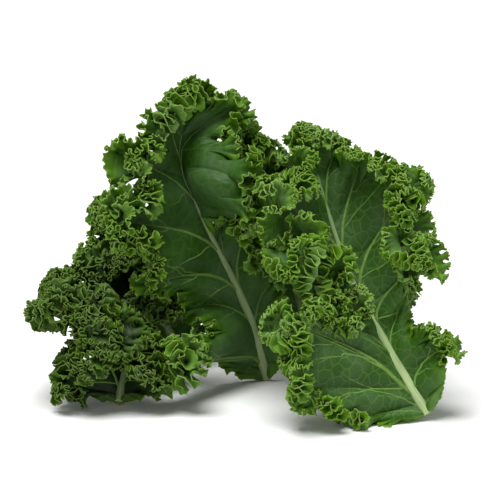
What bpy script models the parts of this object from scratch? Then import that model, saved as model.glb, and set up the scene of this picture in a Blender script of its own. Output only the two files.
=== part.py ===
"""A bunch of curly kale: cut leaves heaped so that they lean on each other and rest on a flat surface.

Each leaf is one solid in one object: its stalk and midrib, the smooth blade beside them, and the
thick belt of curls round the margin. The belt is modelled as the room that the curls take up.
Layout values are in millimetres and degrees; the meshes are in metres. +Z is up and +Y leads away
from the side on which the leaves show their faces.
"""

from typing import NamedTuple

import bmesh
import bpy
import numpy as np

MM = 0.001

# Driving dimensions of every leaf, in mm.
BLADE_THICKNESS = 2.6
BELT_THICKNESS = 13.0
MARGIN_THICKNESS = 6.0
TIP_RIB_SHARE = 0.28  # the midrib's thickness at its tip, as a share of the stalk's
BELT_BUILDS = 0.22  # share of a vein's length over which the curls reach full depth
BETWEEN_LOBES = 0.2  # share of its width that the blade loses between two lobes

# Mesh fineness.
ROWS = 32
STEPS_OUT = np.array([0.0, 0.07, 0.3, 0.52, 0.7, 0.86, 1.0])
CURVE_STEPS = 24

# The middle of the heap's footprint in the layout's own coordinates, in mm.
HEAP_MIDDLE = np.array([0.9, -11.4, 0.0])


class Lobe(NamedTuple):
    """One lobe of a blade, given by the side vein that runs out to its tip."""

    at: float  # share of the midrib where the vein leaves it
    length: float  # of the vein, mm
    angle: float  # between the vein and the midrib, degrees
    lift: float  # out of the blade's plane towards its face, where the vein starts
    curl: float  # what the lift gains by the vein's end
    sweep: float = 0.0  # how far the vein turns towards the leaf's tip
    plain: float = 0.5  # share of the vein that runs through smooth blade, before the curls


class Leaf(NamedTuple):
    """One leaf: its midrib, the way its upper side looks, and the lobes on either hand."""

    name: str
    midrib: tuple  # points from the cut end to the tip, mm
    face: tuple  # the way the upper side looks
    left: tuple  # lobes from the stalk to the tip
    right: tuple
    tip: Lobe  # the lobe at the midrib's end
    stalk: float = 8.5  # diameter at the cut end, mm
    colour: tuple = (0.045, 0.13, 0.025)


LEAVES = (
    Leaf(
        name="leaf_right",
        midrib=(
            (138, -75, 5),
            (121, -66, 32),
            (101, -48, 65),
            (82, -28, 98),
            (70, -11, 130),
            (60, 5, 162),
            (52, 22, 187),
        ),
        face=(0.05, -0.88, 0.47),
        left=(
            Lobe(0.04, 66, 70, 2, 20, -8, 0.62),
            Lobe(0.09, 110, 54, 5, 30, -17, 0.7),
            Lobe(0.16, 126, 34, 10, 30, -22, 0.72),
            Lobe(0.29, 72, 45, 15, 35, -10),
            Lobe(0.40, 36, 55, 30, 80, -10, 0.3),
            Lobe(0.54, 88, 78, 20, 70, 0, 0.2),
            Lobe(0.72, 88, 64, 10, 75, 0, 0.2),
            Lobe(0.88, 44, 45, 5, 50, 10, 0.3),
        ),
        right=(
            Lobe(0.04, 26, 80, 15, 20, 10, 0.8),
            Lobe(0.15, 55, 92, 15, 25, 15),
            Lobe(0.29, 40, 60, 0, 20, 10, 0.85),
            Lobe(0.42, 76, 84, 0, 50, 5),
            Lobe(0.56, 97, 60, -10, 60, 5, 0.45),
            Lobe(0.72, 82, 44, -10, 60, 15, 0.45),
            Lobe(0.88, 50, 40, 0, 40, 10, 0.3),
        ),
        tip=Lobe(1.0, 34, 0, -10, 0, 0, 0.3),
    ),
    Leaf(
        name="leaf_centre",
        midrib=(
            (17, 38, 1),
            (6, 28, 48),
            (-10, 21, 89),
            (-25, 18, 120),
            (-38, 20, 148),
            (-49, 26, 174),
            (-51, 32, 196),
            (-45, 37, 213),
        ),
        face=(0.0, -1.0, 0.1),
        left=(
            Lobe(0.05, 44, 62, 5, 15, 0, 0.8),
            Lobe(0.13, 114, 58, 46, 0, 0, 0.7),
            Lobe(0.30, 56, 62, 5, 20, 0, 0.7),
            Lobe(0.44, 84, 60, 12, 35, -10, 0.62),
            Lobe(0.61, 106, 66, 12, 55, 30, 0.6),
            Lobe(0.80, 72, 58, 20, 50, 0, 0.4),
            Lobe(0.93, 42, 50, 0, 40, 0, 0.4),
        ),
        right=(
            Lobe(0.06, 20, 90, 0, 0, 0, 0.8),
            Lobe(0.26, 48, 52, -10, 30, 0, 0.6),
            Lobe(0.44, 66, 50, -20, 130, 0, 0.6),
            Lobe(0.54, 50, 45, -25, 20),
            Lobe(0.70, 76, 124, 58, -70, -5, 0.6),
            Lobe(0.83, 90, 104, 66, -70, -30, 0.6),
            Lobe(0.94, 56, 46, -5, 20),
        ),
        tip=Lobe(1.0, 38, 0, 0, 20, 0, 0.4),
    ),
    Leaf(
        name="leaf_left",
        midrib=(
            (-97, -40, 3.6),
            (-94, -20, 24),
            (-90, 0, 40),
            (-89, 20, 56),
            (-89, 38, 71),
            (-90, 52, 83),
        ),
        face=(-0.1, -0.57, 0.81),
        left=(
            Lobe(0.05, 40, 96, 10, 20),
            Lobe(0.18, 80, 80, 30, 85, 0, 0.15),
            Lobe(0.36, 90, 84, 15, 60, 0, 0.15),
            Lobe(0.57, 86, 72, 10, 50, 0, 0.2),
            Lobe(0.75, 64, 60, 20, 60, 0, 0.2),
            Lobe(0.92, 46, 40, 20, 80, 0, 0.2),
        ),
        right=(
            Lobe(0.05, 44, 92, 15, 20),
            Lobe(0.18, 54, 76, 25, 90, 0, 0.15),
            Lobe(0.36, 38, 78, 5, 60, 0, 0.2),
            Lobe(0.52, 44, 70, -15, 50, 0, 0.2),
            Lobe(0.74, 56, 60, -10, 70, 0, 0.2),
            Lobe(0.92, 44, 40, 0, 90, 0, 0.2),
        ),
        tip=Lobe(1.0, 40, 0, 20, 110, 0, 0.2),
    ),
    Leaf(
        name="leaf_back_left",
        midrib=((-52, 92, 5), (-74, 90, 48), (-96, 84, 88), (-112, 76, 122)),
        face=(-0.1, -0.9, 0.3),
        left=(
            Lobe(0.10, 50, 80, 0, 30),
            Lobe(0.40, 60, 70, 0, 50),
            Lobe(0.75, 48, 55, 0, 50),
        ),
        right=(
            Lobe(0.10, 36, 80, 0, 10),
            Lobe(0.40, 48, 70, 0, 20),
            Lobe(0.75, 44, 55, 0, 20),
        ),
        tip=Lobe(1.0, 30, 0, 10, 10, 0, 0.3),
    ),
    Leaf(
        name="leaf_back_centre",
        midrib=((52, 88, 1), (45, 86, 55), (29, 77, 110), (9, 65, 160), (-2, 57, 198)),
        face=(0.0, -1.0, -0.1),
        left=(
            Lobe(0.10, 50, 80, 0, 20),
            Lobe(0.30, 62, 70, 0, 50),
            Lobe(0.55, 66, 55, 10, 50),
            Lobe(0.80, 44, 50, 10, 40),
        ),
        right=(
            Lobe(0.10, 36, 80, -5, 0),
            Lobe(0.30, 46, 70, -5, 0),
            Lobe(0.55, 44, 60, -5, 10),
            Lobe(0.80, 44, 55, 0, 10),
        ),
        tip=Lobe(1.0, 30, 0, 0, 10, 0, 0.3),
    ),
    Leaf(
        name="leaf_back_right",
        midrib=((104, 62, 1), (101, 64, 46), (92, 63, 100), (80, 56, 146), (70, 47, 176)),
        face=(0.1, -0.95, -0.1),
        left=(
            Lobe(0.10, 30, 80, 0, 10),
            Lobe(0.35, 38, 70, 0, 30),
            Lobe(0.65, 42, 60, 0, 30),
            Lobe(0.85, 36, 50, 0, 20),
        ),
        right=(
            Lobe(0.10, 34, 80, 0, 30),
            Lobe(0.35, 60, 66, 0, 60),
            Lobe(0.65, 58, 60, 0, 50),
            Lobe(0.85, 44, 50, 0, 40),
        ),
        tip=Lobe(1.0, 30, 0, -10, 10, 0, 0.3),
    ),
)


def smooth(knots, values, at):
    """Values at the places `at` on a smooth curve through the given ones."""
    knots, values = np.asarray(knots, float), np.asarray(values, float)
    slopes = np.gradient(values, knots, axis=0)
    i = np.clip(np.searchsorted(knots, at, side="right") - 1, 0, len(knots) - 2)
    gap = knots[i + 1] - knots[i]
    x = (at - knots[i]) / gap
    if values.ndim > 1:
        gap, x = gap[:, None], x[:, None]
    start = (1 + 2 * x) * (1 - x) ** 2 * values[i]
    end = x * x * (3 - 2 * x) * values[i + 1]
    turns = x * (1 - x) ** 2 * slopes[i] - x * x * (1 - x) * slopes[i + 1]
    return start + end + gap * turns


def unit(vectors):
    """The vectors at length 1."""
    return vectors / np.linalg.norm(vectors, axis=-1, keepdims=True)


def midrib_frame(leaf, shares):
    """Points down the midrib, its direction there, the way to the right-hand side and the face's way."""
    points = np.array(leaf.midrib, float)
    along = np.concatenate([[0], np.cumsum(np.linalg.norm(np.diff(points, axis=0), axis=1))])
    along /= along[-1]
    places = smooth(along, points, shares)
    nudge = 1e-3
    ahead = smooth(along, points, np.minimum(shares + nudge, 1))
    behind = smooth(along, points, np.maximum(shares - nudge, 0))
    tangent = unit(ahead - behind)
    face = np.array(leaf.face, float)
    face = unit(face - (tangent @ face)[:, None] * tangent)
    return places, tangent, np.cross(tangent, face), face


def vein_settings(leaf, side, shares):
    """Length, angle, lift, curl, sweep and plain share of the vein at each share of the midrib."""
    lobes = (leaf.right if side > 0 else leaf.left) + (leaf.tip,)
    base = Lobe(0.0, leaf.stalk / 2, 90, lobes[0].lift, 0)
    knots = [lobe.at for lobe in (base,) + lobes]
    length, *turns, plain = smooth(knots, [lobe[1:] for lobe in (base,) + lobes], shares).T
    between = np.sin(np.pi * np.interp(shares, knots, np.arange(len(knots)))) ** 4
    between[shares < lobes[0].at] = 0
    return length * (1 - BETWEEN_LOBES * between), np.radians(turns), plain


def half_blade(leaf, side, shares, steps):
    """Rows of points from the midrib out to the margin, on the left (side -1) or the right (side 1)."""
    length, (angle, lift, curl, sweep), _ = vein_settings(leaf, side, shares)
    places, tangent, across, face = midrib_frame(leaf, shares)
    fine = np.linspace(0, 1, CURVE_STEPS + 1)
    in_plane = angle[:, None] - sweep[:, None] * fine
    out_of_plane = lift[:, None] + curl[:, None] * fine
    flat = np.cos(out_of_plane)
    heading = (
        (flat * np.cos(in_plane))[..., None] * tangent[:, None]
        + (flat * np.sin(in_plane))[..., None] * (side * across)[:, None]
        + np.sin(out_of_plane)[..., None] * face[:, None]
    )
    strides = (heading[:, 1:] + heading[:, :-1]) / 2 * (length / CURVE_STEPS)[:, None, None]
    reached = np.concatenate([np.zeros_like(strides[:, :1]), np.cumsum(strides, axis=1)], axis=1)
    rows = [[np.interp(steps, fine, row[:, k]) for k in range(3)] for row in reached]
    return places[:, None] + np.transpose(np.array(rows), (0, 2, 1))


def row_shares(leaf):
    """Shares of the midrib that put the rows about evenly along the margin."""
    fine = np.linspace(0, 1, 400)
    ends = [half_blade(leaf, side, fine, np.array([1.0]))[:, 0] for side in (-1, 1)]
    travel = sum(np.linalg.norm(np.diff(end, axis=0), axis=1) for end in ends)
    along = np.concatenate([[0], np.cumsum(travel)])
    return np.interp(np.linspace(0, along[-1], ROWS), along, fine)


def thickness(leaf, side, shares, steps):
    """Thickness of the solid over one half of the blade, rows by steps, in mm."""
    rib = leaf.stalk * (1 - (1 - TIP_RIB_SHARE) * shares)[:, None]
    plain = vein_settings(leaf, side, shares)[2][:, None]
    belt = np.clip((steps - plain) / BELT_BUILDS, 0, 1)
    blade = BLADE_THICKNESS + (BELT_THICKNESS - BLADE_THICKNESS) * belt
    blade = np.where(steps == 1, MARGIN_THICKNESS, blade)
    start = np.clip(shares / 0.1, 0, 1)[:, None]
    blade = rib * 0.5 * (1 - start) + blade * start
    return np.where(steps == 0, rib, blade)


def leaf_sheet(leaf):
    """The blade's middle surface: points, faces and thicknesses, with its two halves joined at the midrib."""
    shares = row_shares(leaf)
    columns = len(STEPS_OUT)
    points, depths = [], []
    for side in (-1, 1):
        points.append(half_blade(leaf, side, shares, STEPS_OUT))
        depths.append(thickness(leaf, side, shares, STEPS_OUT))
    # Left margin to midrib to right margin, row by row; the tip row is shared by both halves.
    rows = np.concatenate([points[0][:, ::-1], points[1][:, 1:]], axis=1)
    depth = np.concatenate([depths[0][:, ::-1], depths[1][:, 1:]], axis=1)
    across = 2 * columns - 1
    index = np.arange(len(rows) * across).reshape(len(rows), across)
    index[-1, columns:] = index[-1, : columns - 1][::-1]
    quads = np.stack(
        [index[:-1, :-1], index[:-1, 1:], index[1:, 1:], index[1:, :-1]], axis=-1
    ).reshape(-1, 4)
    return rows.reshape(-1, 3), quads, depth.reshape(-1)


def add_leaf(leaf):
    """One leaf as a closed solid, pressed flat where it meets the surface below."""
    points, quads, depth = leaf_sheet(leaf)
    mesh = bpy.data.meshes.new(leaf.name)
    work = bmesh.new()
    layer = work.verts.layers.deform.new()
    verts = [work.verts.new((point - HEAP_MIDDLE) * MM) for point in points]
    for quad in quads:
        work.faces.new([verts[i] for i in quad])
    for vert, deep in zip(verts, depth):
        vert[layer][0] = deep / leaf.stalk / 2
    bmesh.ops.delete(work, geom=[v for v in work.verts if not v.link_faces], context="VERTS")
    work.to_mesh(mesh)
    work.free()
    solid = bpy.data.objects.new(leaf.name, mesh)
    bpy.context.scene.collection.objects.link(solid)
    solid.vertex_groups.new(name="thickness")
    fill = solid.modifiers.new("thickness", "SOLIDIFY")
    fill.thickness = 2 * leaf.stalk * MM
    fill.offset = 0
    fill.vertex_group = "thickness"
    rest_on_surface(solid)
    solid.data.materials.append(leaf_material(leaf))
    solid.data.shade_smooth()
    return solid


def rest_on_surface(solid):
    """Makes the modifiers permanent, then flattens whatever would reach below the surface."""
    graph = bpy.context.evaluated_depsgraph_get()
    mesh = bpy.data.meshes.new_from_object(solid.evaluated_get(graph))
    solid.modifiers.clear()
    solid.data = mesh
    for vert in mesh.vertices:
        vert.co.z = max(vert.co.z, 0)


def leaf_material(leaf):
    """The leaf's own plain green."""
    material = bpy.data.materials.new(leaf.name)
    material.use_nodes = True
    shader = material.node_tree.nodes["Principled BSDF"]
    shader.inputs["Base Color"].default_value = (*leaf.colour, 1)
    shader.inputs["Roughness"].default_value = 0.5
    shader.inputs["Metallic"].default_value = 0
    return material


def main():
    """Clears the scene and builds every leaf."""
    for thing in list(bpy.data.objects):
        bpy.data.objects.remove(thing)
    for leaf in LEAVES:
        add_leaf(leaf)


main()
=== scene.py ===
"""A bunch of curly kale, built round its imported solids.

A kale leaf curls because its margin grows longer than the blade it hangs on. Each blade here is one
sheet, laid out along its side veins and then bent at the margin: first into small lobes, then into
curls, then into fine ruffles. The stalk, midrib and side veins run over it.
Layout values are in millimetres and degrees, as in the solids' own layout. The meshes are in metres.
"""

import functools
import math
from typing import NamedTuple

import bpy
import numpy as np
from bpy.props import FloatProperty, FloatVectorProperty, IntProperty, PointerProperty
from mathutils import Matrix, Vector


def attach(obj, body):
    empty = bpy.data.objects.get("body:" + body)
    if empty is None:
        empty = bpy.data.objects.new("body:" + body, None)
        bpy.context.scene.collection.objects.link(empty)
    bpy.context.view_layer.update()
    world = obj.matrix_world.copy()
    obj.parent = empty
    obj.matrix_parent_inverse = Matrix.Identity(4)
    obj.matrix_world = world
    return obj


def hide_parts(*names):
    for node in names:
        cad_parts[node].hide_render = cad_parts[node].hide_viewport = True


bl_info = {
    "name": "Curly kale bunch",
    "version": (1, 0, 0),
    "blender": (4, 5, 0),
    "location": "3D View > Sidebar > Kale",
    "description": "Curled leaf blades, midribs, side veins and a plain stage for a bunch of curly kale",
    "category": "Object",
}

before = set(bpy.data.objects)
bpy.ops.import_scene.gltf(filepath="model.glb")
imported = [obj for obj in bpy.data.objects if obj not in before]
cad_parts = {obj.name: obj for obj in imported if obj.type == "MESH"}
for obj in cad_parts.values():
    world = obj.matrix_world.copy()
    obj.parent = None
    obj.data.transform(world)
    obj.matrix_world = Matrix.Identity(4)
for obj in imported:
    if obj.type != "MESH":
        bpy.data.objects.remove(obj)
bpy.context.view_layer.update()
BODY = "root"
MM = 0.001

# The layout, as in the solids: the middle of the heap's footprint, mm.
HEAP_MIDDLE = np.array([0.9, -11.4, 0.0])
CURVE_STEPS = 64  # along a side vein, when its path is added up
DEEPEST_GAP = 0.88  # between two lobes, as a share of their length
MOST_FRILL = 1.2  # between two lobes, where the strength of their curls is blended
PLEAT = 6.0  # how far the blade bulges between two side veins, mm
PLEAT_SHAPE = 0.7  # below 1 the bulge is flat on top and steep beside the veins
FLOOR_GAP = 0.6  # of a blade's middle surface above the floor, mm

# The blade's grid. Columns run from the midrib to the margin, rows along it.
EDGE_ROWS = np.array([0, 0.9, 2.1, 3.6, 5.4, 7.6, 10.4, 14.0, 18.5, 24.0])  # mm in from the margin
SHORT_COLUMN = 1.6  # times the edge rows' width: a shorter column has those rows squeezed
INNER_ROWS = 12  # from there to the midrib
STRIDES = ((2, 1), (6, 2), (9, 4))  # of the outermost rows, how many keep every, every 2nd, every 4th column
INNER_STRIDE = 16
FIRST_COLUMNS = 1500  # a side, before they are spread evenly along the curled margin
MOST_COLUMNS = 7600  # a side
EVENNESS = 0.7  # share by which the columns' spread follows the curled margin

# Small lobes along the margin.
LOBULE = 17.0  # width, mm
LOBULE_DEPTH = 11.0  # of the cut between two of them, mm
LOBULE_SHAPE = 0.6  # below 1 the lobe is broad and the cut narrow
LOBULE_SHIFT = 0.6  # how unevenly they are spaced, as a share of their width
LOBULE_PITCH = 100.0  # how far they bend, by turns up and down, degrees
LOBULE_REACH = (6.0, 38.0)  # how far in from the margin they start to bend, least and most, mm
DEEPEST_CUT = 0.5  # between two of them, as a share of the way from the midrib
FULL_CURL = 30.0  # length of a lobe, and width of its curled belt, from which it curls in full, mm
LEAST_CUT = 0.3  # share of its depth that a cut keeps where the belt is narrow
FAN = 0.6  # share by which columns turn to meet the margin squarely
STRETCH = 24.0  # length of margin that curls alike, mm
TOOTH = 1.3  # depth of the margin's fine teeth, mm
TOOTH_WIDTH = 1.4  # mm
TOOTH_REACH = 2.4  # mm

# Stalks, midribs and veins.
TIP_RIB_SHARE = 0.28  # the midrib's thickness at its tip, as a share of the stalk's
RIB_SINK = 0.05  # of the rib's middle behind the blade, as a share of its radius
RIB_SIDES = 20
RIB_RIDGES = (5, 0.05)  # number of ridges round a stalk and their height as a share of its radius
RUN_DOWN = 0.1  # share of the midrib along which a side vein runs down before it joins
RUN_OUT = 0.13  # share of its way out by which it has left the midrib
VEIN_RADIUS = 1.35  # where it leaves the midrib, of a side vein of the next line's length, mm
VEIN_LENGTH = 80.0
VEIN_END = 0.97  # share of the way to the margin where the veins end
LEAST_RADIUS = 0.25  # of a midrib or side vein at its end, mm
BRANCH_GAP = 13.0  # between two branches of a side vein, mm
BRANCH_SHIFT = 0.25  # how unevenly they are spaced, as a share of the gap
BRANCH_SPREAD = (0.6, 0.85)  # how far a branch bends aside, as a share of what is left of its vein
BRANCH_GIRTH = 0.5  # against its vein
TWIG_STARTS = (0.25, 0.32)  # share of a branch before its first twig, and from there to the second
TWIG_SHIFT = 0.05
TWIG_SPREAD = (0.35, 0.6)
TWIG_GIRTH = 0.45  # against its branch

# Looks.
CURL_PAINTED_LIGHT = 0.4  # power of a leaf's painted light that its curls and rim take, so they are painted less shaded, as they stand in more light
NET_ABOVE = 0.4  # how strongly the finest veins show on the upper side
NET_BENEATH = 0.6
NOISE_SPAN = {"From Min": 0.3, "From Max": 0.7}  # what a noise pattern mostly stays within
CELL_WALLS = {"feature": "DISTANCE_TO_EDGE", "voronoi_dimensions": "2D"}
EASED = {"interpolation_type": "SMOOTHSTEP"}


class Lobe(NamedTuple):
    """One lobe of a blade, given by the side vein that runs out to its tip."""

    at: float  # share of the midrib where the vein leaves it
    length: float  # of the vein, mm
    angle: float  # between the vein and the midrib, degrees
    lift: float  # out of the blade's plane towards its face, where the vein starts
    curl: float  # what the lift gains by the vein's end
    sweep: float = 0.0  # how far the vein turns towards the leaf's tip
    plain: float = 0.5  # share of the vein that runs through smooth blade, before the curls
    frill: float = 1.0  # strength of the curls at its end
    vein: float = 1.0  # girth of its vein against others of its length
    gap: float = 0.25  # share of its length that the blade loses before the next lobe


class Leaf(NamedTuple):
    """One leaf: its midrib, the way its upper side looks, and the lobes on either hand."""

    name: str
    midrib: tuple  # points from the cut end to the tip, mm
    face: tuple  # the way the upper side looks
    left: tuple  # lobes from the stalk to the tip
    right: tuple
    tip: Lobe  # the lobe at the midrib's end
    seed: int
    stalk: float = 8.5  # diameter at the cut end, mm
    curliness: float = 1.0
    grain: float = 1.0  # size of its curls against CURLS
    tone: float = 1.0  # painted shade: share of light painted into its blade's colours, below 1 for a leaf that stands in shade
    rib_painted_light: float = 1.0  # painted shade of its midrib, veins and stalk's cut end: share of light painted into their colours


class Curl(NamedTuple):
    """One size of curl along the margin. Each size rides on the larger ones."""

    wave: float  # length along the margin, mm
    pitch: float  # how far the margin bends up and down, degrees
    yaw: float  # how far it leans along itself, degrees
    reach: float  # how far in from the margin it starts, mm


class Growth(NamedTuple):
    """What a user may change about the way every leaf grows."""

    curl_depth: float
    curl_size: float
    column_gap: float  # mm


CURLS = (  # the curls, then the ruffles on them
    Curl(wave=9.5, pitch=70, yaw=22, reach=13.5),
    Curl(wave=4.2, pitch=42, yaw=14, reach=4.8),
)

# Each lobe: at, length, angle, lift, curl, sweep, plain, frill, vein, gap.
LEAVES = (
    Leaf(
        name="leaf_right",
        midrib=(
            (138, -75, 5), (121, -66, 32), (101, -48, 65), (82, -28, 98), (70, -11, 130), (60, 5, 162), (52, 22, 187),
        ),
        face=(0.05, -0.88, 0.47),
        left=(
            Lobe(0.04, 66, 70, 2, 20, -8, 0.62, 0.9, 0.45, 0.12),
            Lobe(0.09, 110, 54, 5, 30, -17, 0.7, 1.0, 0.35, 0.1),
            Lobe(0.16, 126, 34, 10, 30, -22, 0.72, 1.0, 1.25, 0.3),
            Lobe(0.29, 72, 45, 15, 35, -10, 0.5, 1.0, 0.7, 0.4),
            Lobe(0.40, 36, 55, 30, 80, -10, 0.3, 0.9, 0.8, 0.4),
            Lobe(0.54, 88, 78, 20, 70, 0, 0.2),
            Lobe(0.72, 88, 64, 10, 75, 0, 0.2),
            Lobe(0.88, 44, 45, 5, 50, 10, 0.3, 0.8),
        ),
        right=(
            Lobe(0.04, 26, 80, 15, 20, 10, 0.8, 0.1, 0.5),
            Lobe(0.15, 60, 86, 15, 25, 15, 0.42, 1.0, 1.0, 0.4),
            Lobe(0.29, 40, 60, 0, 20, 10, 0.85, 0.2),
            Lobe(0.42, 82, 84, 10, 70, 5, 0.35, 1.0, 1.0, 0.1),
            Lobe(0.56, 101, 60, -2, 75, 5, 0.35, 1.0, 1.0, 0.1),
            Lobe(0.72, 82, 44, -10, 60, 15, 0.36, 1.0, 1.0, 0.1),
            Lobe(0.88, 50, 40, 0, 40, 10, 0.3),
        ),
        tip=Lobe(1.0, 34, 0, -10, 0, 0, 0.3),
        seed=1,
    ),
    Leaf(
        name="leaf_centre",
        midrib=(
            (17, 38, 1), (6, 28, 48), (-10, 21, 89), (-25, 18, 120), (-38, 20, 148), (-49, 26, 174), (-51, 32, 196),
            (-45, 37, 213),
        ),
        face=(0, -1, 0.1),
        left=(
            Lobe(0.05, 44, 62, 5, 15, 0, 0.8, 0.4, 0.6),
            Lobe(0.13, 122, 60, 46, 0, 0, 0.7, 1.0, 1.1, 0.55),
            Lobe(0.30, 60, 62, 5, 20, 0, 0.7, 0.7, 0.9, 0.2),
            Lobe(0.44, 88, 60, 14, 35, -10, 0.76, 0.9, 1.2, 0.3),
            Lobe(0.61, 106, 66, 12, 55, 30, 0.6, 1.0, 1.0, 0.4),
            Lobe(0.80, 72, 58, 20, 50, 0, 0.5, 1.0, 0.7, 0.15),
            Lobe(0.93, 50, 50, 12, 95, 0, 0.4, 1.0, 0.7, 0.1),
        ),
        right=(
            Lobe(0.06, 20, 90, 0, 0, 0, 0.8, 0.5, 0.5),
            Lobe(0.26, 48, 52, -10, 30, 0, 0.6, 0.7, 0.9),
            Lobe(0.44, 66, 50, -20, 130, 0, 0.6, 0.7, 1.1),
            Lobe(0.54, 50, 45, -25, 20, 0, 0.5, 0.8, 0.5, 1.5),
            Lobe(0.70, 74, 124, 56, -70, -5, 0.5, 1.0, 0.15, 0.05),
            Lobe(0.83, 86, 104, 62, -60, -30, 0.5, 1.0, 0.2, 0.45),
            Lobe(0.94, 62, 46, -5, 20, 0, 0.5, 0.9, 0.6),
        ),
        tip=Lobe(1.0, 38, 0, 0, 20, 0, 0.4, 0.9),
        seed=2,
        curliness=0.75,
        grain=1.5,
        tone=0.84,
        rib_painted_light=0.7,
    ),
    Leaf(
        name="leaf_left",
        midrib=((-97, -40, 3.6), (-94, -20, 24), (-90, 0, 40), (-89, 20, 56), (-89, 38, 71), (-90, 52, 83)),
        face=(-0.1, -0.57, 0.81),
        left=(
            Lobe(0.05, 50, 92, 10, 20, 0, 0.4, 0.9, 1.0, 0.1),
            Lobe(0.18, 76, 70, 45, 115, 0, 0.1, 1.0, 1.0, 0.1),
            Lobe(0.36, 98, 92, 20, 66, 0, 0.1, 1.0, 1.0, 0.1),
            Lobe(0.57, 86, 72, 10, 50, 0, 0.2, 1.0, 1.0, 0.15),
            Lobe(0.75, 64, 60, 20, 60, 0, 0.2),
            Lobe(0.92, 46, 40, 20, 80, 0, 0.2),
        ),
        right=(
            Lobe(0.05, 44, 92, 15, 20, 0, 0.5, 0.8, 1.0, 0.1),
            Lobe(0.18, 58, 88, 22, 80, 0, 0.2, 1.0, 1.0, 0.3),
            Lobe(0.36, 58, 74, 40, 125, 0, 0.15, 1.0, 1.0, 0.3),
            Lobe(0.52, 52, 70, 10, 90, 0, 0.2),
            Lobe(0.74, 56, 60, -10, 70, 0, 0.2),
            Lobe(0.92, 44, 40, 0, 90, 0, 0.2),
        ),
        tip=Lobe(1.0, 40, 0, 20, 110, 0, 0.2),
        seed=3,
        grain=1.45,
        tone=0.25,
        curliness=0.95,
        rib_painted_light=0.85,
    ),
    Leaf(
        name="leaf_back_left",
        midrib=((-52, 92, 5), (-74, 90, 48), (-96, 84, 88), (-112, 76, 122)),
        face=(-0.1, -0.9, 0.3),
        left=(
            Lobe(0.10, 50, 80, 0, 30), Lobe(0.40, 60, 70, 0, 50), Lobe(0.75, 48, 55, 0, 50),
        ),
        right=(
            Lobe(0.10, 36, 80, 0, 10), Lobe(0.40, 48, 70, 0, 20), Lobe(0.75, 44, 55, 0, 20),
        ),
        tip=Lobe(1.0, 30, 0, 10, 10, 0, 0.3),
        seed=4,
        grain=1.5,
        tone=0.75,
        rib_painted_light=0.6,
    ),
    Leaf(
        name="leaf_back_centre",
        midrib=((52, 88, 1), (45, 86, 55), (29, 77, 110), (9, 65, 160), (-2, 57, 198)),
        face=(0, -1, -0.1),
        left=(
            Lobe(0.10, 50, 80, 0, 20), Lobe(0.30, 62, 70, 0, 50),
            Lobe(0.55, 66, 55, 10, 50), Lobe(0.80, 50, 50, 10, 40),
        ),
        right=(
            Lobe(0.10, 36, 80, -5, 0), Lobe(0.30, 46, 70, -5, 0),
            Lobe(0.55, 44, 60, -5, 10), Lobe(0.80, 38, 55, 0, 10),
        ),
        tip=Lobe(1.0, 34, 0, 0, 10, 0, 0.3),
        seed=5,
        grain=1.4,
        rib_painted_light=0.6,
    ),
    Leaf(
        name="leaf_back_right",
        midrib=((104, 62, 1), (101, 64, 46), (92, 63, 100), (80, 56, 146), (70, 47, 176)),
        face=(0.1, -0.95, -0.1),
        left=(
            Lobe(0.10, 30, 80, 0, 10), Lobe(0.35, 38, 70, 0, 30),
            Lobe(0.65, 42, 60, 0, 30), Lobe(0.85, 36, 50, 0, 20),
        ),
        right=(
            Lobe(0.10, 34, 80, 0, 30), Lobe(0.35, 60, 66, 0, 60),
            Lobe(0.65, 58, 60, 0, 50), Lobe(0.85, 44, 50, 0, 40),
        ),
        tip=Lobe(1.0, 30, 0, -10, 10, 0, 0.3),
        seed=6,
        grain=1.5,
        tone=0.9,
        rib_painted_light=0.7,
    ),
)


def smooth(knots, values, at):
    """Values at the places `at` on a smooth curve through the given ones."""
    knots, values = np.asarray(knots, float), np.asarray(values, float)
    slopes = np.gradient(values, knots, axis=0)
    i = np.clip(np.searchsorted(knots, at, side="right") - 1, 0, len(knots) - 2)
    gap = knots[i + 1] - knots[i]
    x = (at - knots[i]) / gap
    if values.ndim > 1:
        gap, x = gap[:, None], x[:, None]
    start = (1 + 2 * x) * (1 - x) ** 2 * values[i]
    end = x * x * (3 - 2 * x) * values[i + 1]
    turns = x * (1 - x) ** 2 * slopes[i] - x * x * (1 - x) * slopes[i + 1]
    return start + end + gap * turns


def unit(vectors):
    """The vectors at length 1."""
    return vectors / np.maximum(np.linalg.norm(vectors, axis=-1, keepdims=True), 1e-12)


def travelled(points):
    """Distance along a row of points, from its first."""
    return np.concatenate([[0], np.cumsum(np.linalg.norm(np.diff(points, axis=0), axis=1))])


def wander(along, period, seed, height=1.0):
    """A smooth random value for each distance along a line, up to about `height`."""
    draw = np.random.default_rng(seed)
    count = int(along.max() / period) + 6
    knots = (np.arange(count) - 2) * period
    return smooth(knots, draw.uniform(-height, height, count), along)


def midrib_frame(leaf, shares):
    """Points down the midrib, its direction there, the way to the right-hand side and the face's way."""
    points = np.array(leaf.midrib, float)
    along = travelled(points)
    along /= along[-1]
    places = smooth(along, points, shares)
    nudge = 1e-3
    ahead = smooth(along, points, np.minimum(shares + nudge, 1))
    behind = smooth(along, points, np.maximum(shares - nudge, 0))
    tangent = unit(ahead - behind)
    face = np.array(leaf.face, float)
    face = unit(face - (tangent @ face)[:, None] * tangent)
    return places, tangent, np.cross(tangent, face), face


class Veins(NamedTuple):
    """The side veins that start at given shares of the midrib, one value each."""

    length: np.ndarray  # mm, cut back between lobes
    turns: np.ndarray  # angle, lift, curl and sweep, radians
    plain: np.ndarray
    frill: np.ndarray
    place: np.ndarray  # among the lobes: whole numbers at a lobe's own vein


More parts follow.
